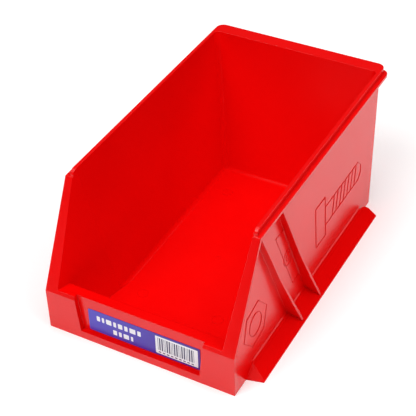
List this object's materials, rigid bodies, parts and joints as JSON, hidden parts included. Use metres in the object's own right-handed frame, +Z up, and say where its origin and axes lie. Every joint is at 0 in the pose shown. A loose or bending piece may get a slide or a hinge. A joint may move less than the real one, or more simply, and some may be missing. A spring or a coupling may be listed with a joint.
{
  "type": "hanging parts bin",
  "caption": "Open-front plastic parts bin with slanted side fronts, raised rim lips, side wings with ribs and a label recess in its low front panel.",
  "frame": {"origin": "middle of the bin's outline, on the ground plane it stands on", "axes": "+X across the bin to its right seen from the front, the open front faces -Y, +Y along the bin to the hanging rim, +Z up"},
  "size_m": [0.1676, 0.25, 0.1103],
  "materials": {
    "red_moulding": "semi-gloss injection moulded, smooth",
    "printed_label": "glossy laminated print"
  },
  "bodies": {
    "root": {"bin_body": "red_moulding", "label": "printed_label"}
  },
  "joints": []
}
